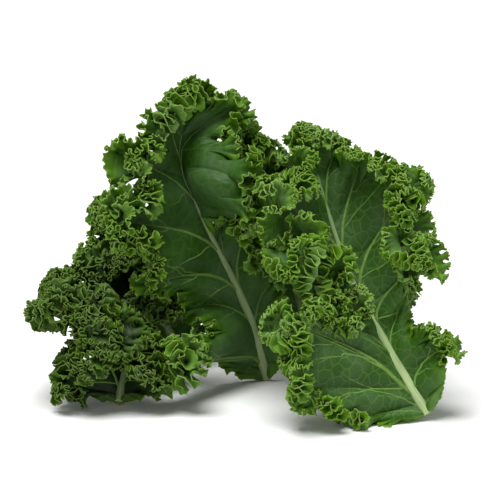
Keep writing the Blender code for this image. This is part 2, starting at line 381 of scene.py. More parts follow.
def veins_at(leaf, side, shares):
    """The side veins of one half of a leaf, on the left (side -1) or the right (side 1)."""
    lobes = (leaf.right if side > 0 else leaf.left) + (leaf.tip,)
    base = Lobe(0.0, leaf.stalk / 2, 90, lobes[0].lift, 0)
    knots = [lobe.at for lobe in (base,) + lobes]
    length, *turns, plain, frill, _, _ = smooth(knots, [lobe[1:] for lobe in (base,) + lobes], shares).T
    place = np.interp(shares, knots, np.arange(len(knots)))
    gaps = np.array([0.0] + [lobe.gap for lobe in lobes])[np.minimum(place.astype(int), len(lobes))]
    between = np.minimum(gaps * np.sin(np.pi * place) ** 2, DEEPEST_GAP)
    return Veins(length * (1 - between), np.radians(turns), plain, np.clip(frill, 0, MOST_FRILL), place)


def flat_points(leaf, side, shares, steps):
    """Points on the uncurled blade; steps holds a row of shares of the way out for each column."""
    veins = veins_at(leaf, side, shares)
    angle, lift, curl, sweep = veins.turns
    places, tangent, across, face = midrib_frame(leaf, shares)
    fine = np.linspace(0, 1, CURVE_STEPS + 1)
    in_plane = angle[:, None] - sweep[:, None] * fine
    out_of_plane = lift[:, None] + curl[:, None] * fine
    level = np.cos(out_of_plane)
    heading = (
        (level * np.cos(in_plane))[..., None] * tangent[:, None]
        + (level * np.sin(in_plane))[..., None] * (side * across)[:, None]
        + np.sin(out_of_plane)[..., None] * face[:, None]
    )
    strides = (heading[:, 1:] + heading[:, :-1]) / 2 * (veins.length / CURVE_STEPS)[:, None, None]
    reached = np.concatenate([np.zeros_like(strides[:, :1]), np.cumsum(strides, axis=1)], axis=1)
    index = steps * CURVE_STEPS
    low = np.minimum(index.astype(int), CURVE_STEPS - 1)
    part = (index - low)[..., None]
    rows = np.arange(len(shares))[:, None]
    return places[:, None] + reached[rows, low] * (1 - part) + reached[rows, low + 1] * part


def blur(values, width):
    """Running mean along the columns, twice over."""
    width = int(round(width))
    if width < 1:
        return values
    for _ in range(2):
        padded = np.concatenate([values[:1].repeat(width, 0), values, values[-1:].repeat(width + 1, 0)])
        total = np.cumsum(padded, axis=0)
        values = (total[2 * width + 1 :] - total[: -2 * width - 1]) / (2 * width + 1)
    return values


def frames(points, width):
    """The ways along the margin, out of the leaf and up off its face, at every point."""
    out = unit(blur(np.gradient(points, axis=1), width))
    along = blur(np.gradient(points, axis=0), width)
    up = unit(np.cross(out, along))
    return np.cross(up, out), out, up


def turned(vectors, axis, angle):
    """The vectors turned about unit axes."""
    sine, cosine = np.sin(angle)[..., None], np.cos(angle)[..., None]
    dot = (vectors * axis).sum(axis=-1, keepdims=True)
    return vectors * cosine + np.cross(axis, vectors) * sine + axis * dot * (1 - cosine)


def bent(points, inwards, reach, pitch, yaw, width):
    """The sheet with its margin bent: pitch towards the face and yaw along the margin, radians."""
    way, out, up = (f[:, 1:] + f[:, :-1] for f in frames(points, width))
    way, up = unit(way), unit(up)
    middle = (inwards[:, 1:] + inwards[:, :-1]) / 2
    share = np.clip(1 - middle / reach, 0, 1)
    yaws, pitches = yaw[:, None] * share, pitch[:, None] * share
    strides = turned(np.diff(points, axis=1), up, yaws)
    strides = turned(strides, -turned(way, up, yaws), pitches)
    return np.concatenate([points[:, :1], points[:, :1] + np.cumsum(strides, axis=1)], axis=1)


class Blade(NamedTuple):
    """A leaf's curled blade as a grid: columns round the margin from the right foot to the left one."""

    points: np.ndarray  # columns x rows x 3, rows from the midrib to the margin, mm
    shares: np.ndarray  # of the midrib, where each column starts
    inwards: np.ndarray  # columns x rows, distance from the margin, mm
    outward: np.ndarray  # columns x rows, share of the way from the midrib to the margin
    margin: np.ndarray  # of each column, its place along the uncurled margin, mm
    lengths: np.ndarray  # of each column, mm
    laid: np.ndarray  # columns x rows x 2, the leaf laid flat, mm
    tip: int  # the column that both sides share


def grow(leaf, growth, right, left):
    """The curled blade on given shares of the midrib, from the right foot to the tip and back."""
    shares = np.concatenate([right, left[1:]])
    halves = ((1, right, slice(0, len(right))), (-1, left[1:], slice(len(right), len(shares))))
    sides = np.repeat([1.0, -1.0], [len(right), len(left) - 1])
    veins = [veins_at(leaf, side, chosen) for side, chosen, _ in halves]
    length, turns, plain, frill, place = (np.concatenate(pair, axis=-1) for pair in zip(*veins))
    ends = np.ones((len(shares), 1))
    margin = travelled(
        np.concatenate([flat_points(leaf, side, chosen, ends[part])[:, 0] for side, chosen, part in halves])
    )
    seed = leaf.seed * 100
    strength = np.clip(place, 0, 1) * np.clip(length / FULL_CURL, 0, 1) * frill
    belt = (1 - plain) * length

    # Cuts between the small lobes, and the grid's rows from the midrib to the margin that they leave.
    lobule = margin / LOBULE + wander(margin, 3 * LOBULE, seed, LOBULE_SHIFT)
    depth = LOBULE_DEPTH * (1 + wander(margin, 1.5 * LOBULE, seed + 1, height=0.5))
    depth = depth * strength * np.clip(belt / FULL_CURL, LEAST_CUT, 1)
    cut = np.minimum(depth * (1 - np.abs(np.sin(np.pi * lobule)) ** LOBULE_SHAPE), DEEPEST_CUT * length)
    lengths = length - cut
    near = EDGE_ROWS[None, :] * np.minimum(1, lengths / (SHORT_COLUMN * EDGE_ROWS[-1]))[:, None]
    far = np.linspace(0, 1, INNER_ROWS + 1)[None, 1:]
    rest = near[:, -1:] + (lengths[:, None] - near[:, -1:]) * far
    inwards = np.concatenate([near, rest], axis=1)[:, ::-1]
    steps = np.clip((lengths[:, None] - inwards) / length[:, None], 0, 1)
    points = np.concatenate([flat_points(leaf, side, chosen, steps[part]) for side, chosen, part in halves])
    beside = (sides * np.sin(turns[0]) * length)[:, None] * steps
    above = (shares * travelled(np.array(leaf.midrib, float))[-1])[:, None]
    laid = np.stack([beside, above + (np.cos(turns[0]) * length)[:, None] * steps], axis=-1)

    # The blade bulges between the side veins.
    gap = margin[-1] / len(margin)
    up = frames(points, 3 / gap)[2]
    between = np.abs(np.sin(np.pi * place))[:, None] ** PLEAT_SHAPE
    bulge = PLEAT * between * np.sin(np.pi * np.clip(steps * 1.1, 0, 1))  # none in the last tenth
    points = points + bulge[..., None] * up

    # The small lobes bend by turns towards the face and away from it, and fan out.
    way, out, _ = (f[:, -1] for f in frames(points, 1 / gap))
    step = np.gradient(points[:, -1], axis=0)
    slope = (step * out).sum(axis=1) / np.maximum((step * way).sum(axis=1), 1e-6)
    yaw = blur(-np.arctan(slope) * FAN * strength, 1.5 / gap)
    pitch = np.radians(LOBULE_PITCH) * np.sin(np.pi * lobule) * (1 + wander(margin, 2 * LOBULE, seed + 2, height=0.4))
    curly = strength * leaf.curliness * growth.curl_depth
    reach = np.clip(belt, *LOBULE_REACH)[:, None]
    points = bent(points, inwards, reach, pitch * curly, yaw, 4 / gap)

    # Curls ride on the small lobes, and ruffles on the curls. Some stretches curl harder and finer.
    grain = leaf.grain * growth.curl_size
    for number, curl in enumerate(CURLS):
        wave = curl.wave * grain
        draw = seed + 10 * number
        along = travelled(points[:, -1])
        gap = along[-1] / len(along)
        cycles = np.cumsum(np.gradient(along) * (1 + wander(margin, STRETCH, draw + 5, height=0.4))) / wave
        cycles = cycles + wander(along, 1.6 * wave, draw + 3, height=0.5)
        uneven = curly * (1 + wander(along, 1.3 * wave, draw + 4, height=0.6))
        uneven = uneven * (1 + wander(margin, STRETCH, draw + 6, height=0.55))
        pitch = np.radians(curl.pitch) * uneven * np.sin(2 * np.pi * cycles)
        yaw = -np.radians(curl.yaw) * uneven * np.sin(4 * np.pi * cycles)
        points = bent(points, inwards, curl.reach * grain, pitch, yaw, wave / 5 / gap)

    along = travelled(points[:, -1])
    tooth = wander(along, TOOTH_WIDTH * leaf.grain, seed + 50, TOOTH * leaf.grain) * np.clip(place, 0, 1)
    toothed = tooth[:, None] * np.clip(1 - inwards / TOOTH_REACH, 0, 1)
    points = points + toothed[..., None] * frames(points, 1)[1]
    points[..., 2] = np.maximum(points[..., 2], FLOOR_GAP)
    return Blade(points, shares, inwards, steps / steps[:, -1:], margin, lengths, laid, len(right) - 1)


@functools.lru_cache(maxsize=None)
def grown(leaf, growth):
    """The leaf's curled blade, its columns spread evenly along the curled margin."""
    shares = np.linspace(0, 1, FIRST_COLUMNS)
    coarse = grow(leaf, growth, shares, shares[::-1])
    margin = coarse.points[:, -1]
    spread = []
    for half in (margin[: coarse.tip + 1], margin[coarse.tip :][::-1]):
        along = travelled(half)
        along = along * EVENNESS + np.linspace(0, along[-1], len(along)) * (1 - EVENNESS)
        columns = round(along[-1] / growth.column_gap / leaf.grain / INNER_STRIDE) * INNER_STRIDE
        columns = min(columns, MOST_COLUMNS)
        spread.append(np.interp(np.linspace(0, along[-1], columns + 1), along, shares))
    return grow(leaf, growth, spread[0], spread[1][::-1])


def new_mesh(name, points, edges, faces):
    """A mesh from points in the layout's mm, moved to where the heap stands."""
    if not len(points):
        raise RuntimeError(f"{name} has no points")
    mesh = bpy.data.meshes.new(name)
    mesh.from_pydata(((points - HEAP_MIDDLE) * MM).tolist(), edges, faces)
    return mesh


def blade_faces(columns, rows):
    """Faces of a grid whose columns thin out from the margin to the midrib."""
    strides = np.full(rows - 1, INNER_STRIDE)
    for count, stride in reversed(STRIDES):
        strides[rows - 1 - count :] = stride
    faces = []
    for row in range(rows - 1):
        stride = strides[row]
        outer = strides[min(row + 1, rows - 2)]
        for column in range(0, columns - 1, stride):
            margin_side = [(c, row + 1) for c in range(column, column + stride + 1, outer)]
            faces.append([(column, row)] + margin_side + [(column + stride, row)])
    return faces


def blade_mesh(name, blade, first, last):
    """The blade's columns from first to last, with each point's distance from the margin."""
    used = {}
    faces = blade_faces(last - first + 1, blade.points.shape[1])
    corners = [[used.setdefault(corner, len(used)) for corner in face] for face in faces]
    order = np.array(list(used))
    column, row = order[:, 0] + first, order[:, 1]
    mesh = new_mesh(name, blade.points[column, row], [], corners)
    inwards = mesh.attributes.new("from_margin", "FLOAT", "POINT")
    inwards.data.foreach_set("value", blade.inwards[column, row].astype(np.float32))
    loops = np.zeros(len(mesh.loops), np.int32)
    mesh.loops.foreach_get("vertex_index", loops)
    laid = blade.laid[column, row][loops] * MM
    mesh.uv_layers.new(name="laid_flat").data.foreach_set("uv", laid.astype(np.float32).ravel())
    mesh.polygons.foreach_set("use_smooth", np.ones(len(mesh.polygons), bool))
    mesh.update()
    return mesh


def rib_radius(leaf, share):
    """Half the midrib's width at a share of its length, mm. It thins out slowly near the tip."""
    taper = TIP_RIB_SHARE * (1 - share**4) + (1 - TIP_RIB_SHARE) * (1 - share) ** 1.15
    return leaf.stalk / 2 * taper + LEAST_RADIUS


def midrib_mesh(leaf):
    """The stalk and midrib as one closed, tapering, ridged rod, cut flat at its lower end."""
    shares = np.concatenate([[0, 0, 0.004], np.linspace(0.012, 1, 70)])
    places, tangent, across, face = midrib_frame(leaf, shares)
    radius = rib_radius(leaf, shares)
    middle = places - face * (RIB_SINK * radius)[:, None]
    radius[:2] *= (0.02, 0.93)  # the first ring closes the cut end and the second rounds its edge
    angles = np.linspace(0, 2 * np.pi, RIB_SIDES, endpoint=False) - np.pi / 2
    ridges = 1 + RIB_RIDGES[1] * np.cos(RIB_RIDGES[0] * angles + leaf.seed)
    wide, high = np.cos(angles) * ridges, np.sin(angles) * 0.9 * ridges
    spokes = across[:, None] * wide[None, :, None] + face[:, None] * high[None, :, None]
    rings = middle[:, None] + spokes * radius[:, None, None]
    rings[..., 2] = np.maximum(rings[..., 2], FLOOR_GAP / 2)
    points = np.concatenate([rings.reshape(-1, 3), places[-1:] + tangent[-1:] * 0.4])
    corner = np.arange(RIB_SIDES)
    after = (corner + 1) % RIB_SIDES
    start = np.arange(len(shares) - 1)[:, None] * RIB_SIDES
    walls = np.stack([start + corner, start + corner + RIB_SIDES, start + after + RIB_SIDES, start + after], axis=-1)
    last = (len(shares) - 1) * RIB_SIDES
    faces = walls.reshape(-1, 4).tolist()
    faces += [[last + b, last + a, len(points) - 1] for a, b in zip(corner.tolist(), after.tolist())]
    faces.append(corner.tolist())
    mesh = new_mesh(leaf.name, points, [], faces)
    # The cut end is the disc inside the first ring.
    cut = np.zeros(len(faces), bool)
    cut[:RIB_SIDES] = cut[-1] = True
    mesh.polygons.foreach_set("use_smooth", ~cut)
    mesh.polygons.foreach_set("material_index", cut.astype(np.int32))
    # The skin unrolled: round the rod, then along it.
    along = np.append(np.repeat(travelled(places), RIB_SIDES), travelled(places)[-1])
    layer = mesh.uv_layers.new(name="unrolled")
    for polygon in mesh.polygons:
        places_round = [mesh.loops[loop].vertex_index % RIB_SIDES for loop in polygon.loop_indices]
        wraps = max(places_round) - min(places_round) > RIB_SIDES / 2
        for loop, spot in zip(polygon.loop_indices, places_round):
            turn = (spot + RIB_SIDES * (wraps and spot < RIB_SIDES / 2)) / RIB_SIDES
            vertex = mesh.loops[loop].vertex_index
            layer.data[loop].uv = (turn * math.pi * leaf.stalk * MM, along[vertex] * MM)
    mesh.update()
    return mesh


def on_blade(blade, half, margin, outward):
    """Points on the curled blade at places along the uncurled margin and shares of the way out to it."""
    spots = np.abs(blade.margin[half] - blade.margin[half][0])
    grid, shares = blade.points[half], blade.outward[half]
    column = np.rint(np.interp(margin, spots, np.arange(len(spots)))).astype(int)
    rows = np.arange(grid.shape[1])
    row = np.array([np.interp(share, shares[c], rows) for c, share in zip(column, outward)])
    low = np.minimum(row.astype(int), len(rows) - 2)
    part = (row - low)[:, None]
    return grid[column, low] * (1 - part) + grid[column, low + 1] * part


def vein_lines(leaf, blade):
    """Every side vein with its branches and their twigs, as points and radii, mm."""
    lines = []
    for side, lobes in ((1, leaf.right), (-1, leaf.left)):
        half = slice(0, blade.tip + 1) if side > 0 else slice(len(blade.points) - 1, blade.tip - 1, -1)
        spots = np.abs(blade.margin[half] - blade.margin[half][0])
        shares, lengths = blade.shares[half], blade.lengths[half]
        draw = np.random.default_rng(leaf.seed * 100 + 60 + side)
        feet = np.interp([0.0] + [lobe.at for lobe in lobes] + [1.0], shares, spots)

        def add_line(along, out, radius):
            """Keeps the part of a line that lies inside this half of the blade."""
            inside = (along > spots[3]) & (along < spots[-3])
            if inside.sum() > 5:
                lines.append((on_blade(blade, half, along[inside], out[inside]), radius[inside]))

        def branched(stem, spread, length, roughness, steps):
            """Places along the margin of a branch that leaves a stem and bends away from it."""
            q = np.linspace(0, 1, steps)
            ragged = wander(q * 8, 1.2, int(draw.integers(1e6)), roughness * length)
            return q, stem + spread * q**0.85 + ragged * np.minimum(1, 3 * q)

        for order, lobe in enumerate(lobes):
            length = float(np.interp(lobe.at, shares, lengths))
            out = np.linspace(0.0, VEIN_END, 40)
            foot = RUN_DOWN * min(1, length / 60)
            path = np.interp(np.maximum(lobe.at - foot * np.exp(-out / RUN_OUT), 0.004), shares, spots)
            thick = VEIN_RADIUS * math.sqrt(length / VEIN_LENGTH) * lobe.vein
            lines.append((on_blade(blade, half, path, out), thick * (1 - out) ** 1.1 + LEAST_RADIUS))
            count = max(3, round(length / BRANCH_GAP))
            for number in range(count):
                start = (number + 0.6 + draw.uniform(-BRANCH_SHIFT, BRANCH_SHIFT)) / (count + 0.6)
                hand = 1 if number % 2 else -1
                room = abs(feet[order + 1 + hand] - feet[order + 1]) * 0.5
                spread = min(draw.uniform(*BRANCH_SPREAD) * (1 - start) * length, room) * hand
                q, line = branched(float(np.interp(start, out, path)), spread, length, 0.02, 22)
                reach = start + (VEIN_END - start) * q
                branch = (1 - start) ** 0.5 * thick * BRANCH_GIRTH
                add_line(line, reach, branch * (1 - q) + 0.2)
                for twin in range(2):
                    begin = TWIG_STARTS[0] + TWIG_STARTS[1] * twin + draw.uniform(-TWIG_SHIFT, TWIG_SHIFT)
                    away = hand if twin else -hand
                    aside = draw.uniform(*TWIG_SPREAD) * (1 - begin) * (1 - start) * length * away
                    p, twig = branched(float(np.interp(begin, q, line)), aside, length, 0.012, 14)
                    depth = float(np.interp(begin, q, reach))
                    add_line(twig, depth + (VEIN_END - depth) * p, branch * TWIG_GIRTH * (1 - p) + 0.13)
    out = np.linspace(0, VEIN_END, 24)
    end = np.full(len(out), abs(blade.margin[blade.tip] - blade.margin[0]))
    tip = on_blade(blade, slice(0, blade.tip + 1), end, out)
    lines.append((tip, (rib_radius(leaf, 1.0) + 0.3) * (1 - out) + LEAST_RADIUS))
    return lines


def vein_mesh(leaf, blade):
    """The veins' middle lines as edges, with the radius at each point."""
    points, radii = zip(*vein_lines(leaf, blade))
    starts = np.cumsum([0] + [len(line) for line in points[:-1]])
    edges = [(start + i, start + i + 1) for start, line in zip(starts.tolist(), points) for i in range(len(line) - 1)]
    mesh = new_mesh(leaf.name, np.concatenate(points), edges, [])
    radius = mesh.attributes.new("radius", "FLOAT", "POINT")
    radius.data.foreach_set("value", (np.concatenate(radii) * MM).astype(np.float32))
    return mesh
def hex_colour(code):
    """An sRGB hex colour as linear red, green, blue and alpha."""
    values = [int(code[i : i + 2], 16) / 255 for i in (1, 3, 5)]
    linear = [v / 12.92 if v <= 0.04045 else ((v + 0.055) / 1.055) ** 2.4 for v in values]
    return (*linear, 1.0)


def dimmed(colour, tone):
    """A linear colour made brighter or darker, to paint light or shade into it."""
    return (*(part * tone for part in colour[:3]), 1.0)


def add_node(tree, kind, inputs=(), **settings):
    """Adds a node. Each input is a value, the socket it reads, or a node whose first output in use it reads."""
    node = tree.nodes.new(kind)
    for name, value in settings.items():
        setattr(node, name, value)
    for name, source in dict(inputs).items():
        if isinstance(source, bpy.types.Node):
            source = next(output for output in source.outputs if output.enabled)
        if isinstance(source, bpy.types.NodeSocket):
            tree.links.new(source, node.inputs[name])
        else:
            node.inputs[name].default_value = source
    return node


def new_material(name):
    """A material with no nodes yet, and the function that adds one to it."""
    material = bpy.data.materials.new(name)
    material.use_nodes = True
    material.node_tree.nodes.clear()
    return material, functools.partial(add_node, material.node_tree)


def vein_tree():
    """Geometry Nodes that give every vein line its tapering round body."""
    tree = bpy.data.node_groups.new("kale veins", "GeometryNodeTree")
    for name, kind in (("Geometry", "Geometry"), ("Sides", "Int"), ("Girth", "Float"), ("Finish", "Material")):
        tree.interface.new_socket(name, in_out="INPUT", socket_type=f"NodeSocket{kind}")
    tree.interface.new_socket("Geometry", in_out="OUTPUT", socket_type="NodeSocketGeometry")
    add = functools.partial(add_node, tree)
    given = add("NodeGroupInput").outputs
    line = add("GeometryNodeMeshToCurve", {"Mesh": given["Geometry"]})
    radius = add("GeometryNodeInputNamedAttribute", {"Name": "radius"}, data_type="FLOAT")
    girth = add("ShaderNodeMath", {0: radius, 1: given["Girth"]}, operation="MULTIPLY")
    ring = add("GeometryNodeCurvePrimitiveCircle", {"Resolution": given["Sides"], "Radius": 1.0})
    body = add("GeometryNodeCurveToMesh", {"Curve": line, "Profile Curve": ring, "Scale": girth, "Fill Caps": True})
    soft = add("GeometryNodeSetShadeSmooth", {"Geometry": body})
    real = add("GeometryNodeRealizeInstances", {"Geometry": soft})
    finished = add("GeometryNodeSetMaterial", {"Geometry": real, "Material": given["Finish"]})
    add("NodeGroupOutput", {"Geometry": finished})
    return tree


def blade_material(name, skin, tone, net_share, puffed_up):
    """Kale blade: living tissue under a thin coat of wax, with painted light and shade on it.

    The eye gets a dark heart, a fresher belt towards the curls and a thin pale rim, a painted highlight
    along the margin, all in uneven patches. The leaf's painted shade darkens it all, the curls and rim
    less so. A net of fine veins lies in cells 8 mm and 3 mm across, with the tissue puffed up between
    them. The wax takes the shine off, and light glows through the thin curls.
    """
    # Painted shade: the leaf's colours are darkened by its painted light share, the curls and rim less so.
    painted_lights = (tone**CURL_PAINTED_LIGHT, tone, tone, tone, tone**CURL_PAINTED_LIGHT, tone)
    edge, belt, heart, vein, painted_rim_highlight, glow = (dimmed(colour, share) for colour, share in zip(skin, painted_lights))
    material, add = new_material(name)
    from_margin = add("ShaderNodeAttribute", attribute_name="from_margin").outputs["Fac"]  # mm
    place = add("ShaderNodeTexCoord").outputs["Object"]
    laid = add("ShaderNodeUVMap", uv_map="laid_flat")

    # Three zones from the margin inwards, in mm, with borders that wander by some 8 mm.
    mottle = add("ShaderNodeTexNoise", {"Vector": place, "Scale": 1 / 0.011, "Detail": 3.0})
    zone = add("ShaderNodeMath", {0: mottle, 1: 16.0, 2: from_margin}, operation="MULTIPLY_ADD")
    to_belt = add("ShaderNodeMapRange", {"Value": zone, "From Min": 8.0, "From Max": 21.0})
    outer = add("ShaderNodeMix", {"Factor": to_belt, "A": edge, "B": belt}, data_type="RGBA")
    to_heart = add("ShaderNodeMapRange", {"Value": zone, "From Min": 21.0, "From Max": 47.0})
    zoned = add("ShaderNodeMix", {"Factor": to_heart, "A": outer, "B": heart}, data_type="RGBA")
    # Patches about 25 mm across that grew darker and richer, or lighter and paler.
    patch = add("ShaderNodeTexNoise", {"Vector": place, "Scale": 1 / 0.025, "Detail": 2.0})
    light, rich = (
        add("ShaderNodeMapRange", {"Value": patch, **NOISE_SPAN, "To Min": least, "To Max": most})
        for least, most in ((0.75, 1.3), (1.2, 0.85))
    )
    patchy = add("ShaderNodeHueSaturation", {"Saturation": rich, "Value": light, "Color": zoned})

    # The net of veins follows the leaf laid flat: cells 8.5 mm wide, and crumbs 2.8 mm wide within them.
    sway = add("ShaderNodeTexNoise", {"Vector": laid, "Scale": 1 / 0.008, "Detail": 1.0}).outputs["Color"]
    swayed = add("ShaderNodeVectorMath", {0: sway, 1: (0.004, 0.004, 0.0), 2: laid}, operation="MULTIPLY_ADD")
    cells, crumbs = (
        add("ShaderNodeTexVoronoi", {"Vector": swayed, "Scale": 1 / width}, **CELL_WALLS)
        for width in (0.0085, 0.0028)
    )
    net, hairs = (
        add("ShaderNodeMapRange", {"Value": walls, "From Max": width, "To Min": strong, "To Max": 0.0}, **EASED)
        for walls, width, strong in ((cells, 0.09, 1.0), (crumbs, 0.12, 0.35))
    )
    both = add("ShaderNodeMath", {0: net, 1: hairs}, operation="MAXIMUM")
    fading = {"Value": from_margin, "From Min": 2.0, "From Max": 20.0, "To Min": 0.1, "To Max": net_share}
    inner = add("ShaderNodeMapRange", fading)
    share = add("ShaderNodeMath", {0: both, 1: inner}, operation="MULTIPLY")
    veined = add("ShaderNodeMix", {"Factor": share, "A": patchy, "B": vein}, data_type="RGBA")
    # The rim is the last 0.6 mm: a painted highlight along the margin.
    painted_highlight_share = add("ShaderNodeMapRange", {"Value": from_margin, "From Max": 0.6, "To Min": 0.45, "To Max": 0.0}, **EASED)
    colour = add("ShaderNodeMix", {"Factor": painted_highlight_share, "A": veined, "B": painted_rim_highlight}, data_type="RGBA")

    # Tissue puffed up between the veins by up to 0.3 mm, and a skin with a grain of 1 mm.
    puffed = add("ShaderNodeMath", {0: cells, 1: 0.4}, operation="MINIMUM")
    height = add("ShaderNodeMath", {0: crumbs, 1: 0.08, 2: puffed}, operation="MULTIPLY_ADD")
    grain = add("ShaderNodeTexNoise", {"Vector": place, "Scale": 1 / 0.001, "Detail": 2.0})
    rough = add("ShaderNodeMath", {0: grain, 1: 0.05, 2: height}, operation="MULTIPLY_ADD")
    relief = add("ShaderNodeBump", {"Strength": 0.35, "Distance": 0.002, "Height": rough}, invert=not puffed_up)
    waxy = add("ShaderNodeMapRange", {"Value": mottle, "To Min": 0.38, "To Max": 0.68})
    finish = {"Base Color": colour, "Roughness": waxy, "IOR": 1.45, "Specular IOR Level": 0.3, "Normal": relief}
    surface = add("ShaderNodeBsdfPrincipled", finish)
    through = add("ShaderNodeBsdfTranslucent", {"Color": glow})
    both_ways = add("ShaderNodeMixShader", {0: 0.13, 1: surface, 2: through})
    add("ShaderNodeOutputMaterial", {"Surface": both_ways})
    return material


def rib_material(name, thick, thin, tone):
    """Kale stalk and midrib: smooth juicy skin over long fibres, grown in the dark of the plant's heart.

    The eye gets a pale, slightly glossy rod that turns greener towards the leaf's tip, with fine
    grooves along it about 1 mm apart. Both colours are darkened by the leaf's painted shade.
    """
    material, add = new_material(name)
    unrolled = add("ShaderNodeUVMap", uv_map="unrolled")
    drawn_out = add("ShaderNodeMapping", {"Vector": unrolled, "Scale": (1.0, 0.06, 1.0)})
    fibre = add("ShaderNodeTexNoise", {"Vector": drawn_out, "Scale": 1 / 0.0011, "Detail": 3.0})
    along = add("ShaderNodeSeparateXYZ", {"Vector": unrolled}).outputs["Y"]  # m
    towards_tip = add("ShaderNodeMapRange", {"Value": along, "From Max": 0.2})
    # Painted shade: both ends' colours are darkened by the leaf's painted light share.
    ends = {"A": dimmed(thick, tone), "B": dimmed(thin, tone)}
    ripe = add("ShaderNodeMix", {"Factor": towards_tip, **ends}, data_type="RGBA")
    streak = add("ShaderNodeMapRange", {"Value": fibre, **NOISE_SPAN, "To Min": 0.72, "To Max": 1.12})
    streaked = add("ShaderNodeHueSaturation", {"Value": streak, "Color": ripe})
    grooves = add("ShaderNodeBump", {"Strength": 0.5, "Distance": 0.0004, "Height": fibre})
    finish = {"Base Color": streaked, "Roughness": 0.42, "IOR": 1.4, "Normal": grooves}
    surface = add("ShaderNodeBsdfPrincipled", finish)
    add("ShaderNodeOutputMaterial", {"Surface": surface})
    return material


def cut_material(name, flesh, tone):
    """Kale stalk cut across with a knife and dried for a day: dull tan flesh with open fibre ends.

    The eye gets a matt, pitted, slightly sunken tan disc with darker spots 0.6 mm across.
    """
    material, add = new_material(name)
    place = add("ShaderNodeTexCoord").outputs["Object"]
    pits = add("ShaderNodeTexVoronoi", {"Vector": place, "Scale": 1 / 0.0012}, feature="F1")
    depth = {"From Min": 0.1, "From Max": 0.45, "To Min": 0.55, "To Max": 1.1}
    pitted = add("ShaderNodeMapRange", {"Value": pits, **depth})
    # Painted shade: the flesh colour is darkened by the leaf's painted light share.
    spotted = add("ShaderNodeHueSaturation", {"Value": pitted, "Color": dimmed(flesh, tone)})
    hollows = add("ShaderNodeBump", {"Strength": 0.6, "Distance": 0.0004, "Height": pits})
    surface = add("ShaderNodeBsdfPrincipled", {"Base Color": spotted, "Roughness": 0.8, "Normal": hollows})
    add("ShaderNodeOutputMaterial", {"Surface": surface})
    return material


def vein_material(name, thick, thin, tone):
    """Kale side veins: the same juicy skin as the midrib, thinner and so greener.

    The eye gets pale cords where they leave the midrib that fade into the blade as they thin out.
    """
    material, add = new_material(name)
    radius = add("ShaderNodeAttribute", attribute_name="radius").outputs["Fac"]  # m
    place = add("ShaderNodeTexCoord").outputs["Object"]
    spots = add("ShaderNodeTexNoise", {"Vector": place, "Scale": 1 / 0.003, "Detail": 2.0})
    girth = add("ShaderNodeMapRange", {"Value": radius, "From Min": 0.0002, "From Max": 0.0013})
    # Painted shade: both colours are darkened by the leaf's painted light share.
    ends = {"A": dimmed(thin, tone), "B": dimmed(thick, tone)}
    pale = add("ShaderNodeMix", {"Factor": girth, **ends}, data_type="RGBA")
    light = add("ShaderNodeMapRange", {"Value": spots, **NOISE_SPAN, "To Min": 0.8, "To Max": 1.15})
    spotted = add("ShaderNodeHueSaturation", {"Value": light, "Color": pale})
    uneven = add("ShaderNodeBump", {"Strength": 0.3, "Distance": 0.0005, "Height": spots})
    finish = {"Base Color": spotted, "Roughness": 0.45, "IOR": 1.4, "Specular IOR Level": 0.4, "Normal": uneven}
    surface = add("ShaderNodeBsdfPrincipled", finish)
    add("ShaderNodeOutputMaterial", {"Surface": surface})
    return material


def floor_material(colour):
    """Matt white card: pressed wood fibre with a faint tooth 0.5 mm across, and no shine."""
    material, add = new_material("matt white card")
    place = add("ShaderNodeTexCoord").outputs["Object"]
    tooth = add("ShaderNodeTexNoise", {"Vector": place, "Scale": 1 / 0.0005, "Detail": 2.0})
    felt = add("ShaderNodeBump", {"Strength": 0.1, "Distance": 0.0001, "Height": tooth})
    surface = add("ShaderNodeBsdfPrincipled", {"Base Color": colour, "Roughness": 0.9, "Normal": felt})
    add("ShaderNodeOutputMaterial", {"Surface": surface})
    return material




def colour_property(name, description, code):
    """A colour that a user may change, from its sRGB hex value."""
    return FloatVectorProperty(
        name=name, description=description, default=hex_colour(code), subtype="COLOR", size=4, min=0.0, max=1.0
    )


class KaleSizes(bpy.types.PropertyGroup):
    """Sizes that every leaf of the bunch shares."""

    blade_thickness: FloatProperty(
        name="Blade thickness", description="Thickness of the leaf blades",
        default=0.0007, min=0.0002, max=0.002, precision=5, subtype="DISTANCE", unit="LENGTH",
    )
    curl_depth: FloatProperty(
        name="Curl depth", description="How hard the margins curl, against a well-grown curly kale",
        default=1.0, min=0.0, max=1.3, subtype="FACTOR",
    )
    curl_size: FloatProperty(
        name="Curl size", description="Width of the curls and ruffles, against a well-grown curly kale",
        default=1.0, min=0.7, max=2.0, subtype="FACTOR",
    )
    column_gap: FloatProperty(
        name="Fineness", description="Distance between the points along a curled margin",
        default=0.00072, min=0.0005, max=0.004, precision=5, subtype="DISTANCE", unit="LENGTH",
    )
    vein_girth: FloatProperty(
        name="Vein girth", description="Thickness of the side veins, against a well-grown curly kale",
        default=1.0, min=0.3, max=2.0, subtype="FACTOR",
    )
    vein_sides: IntProperty(
        name="Vein sides", description="Number of faces round a side vein", default=6, min=3, max=12,
    )


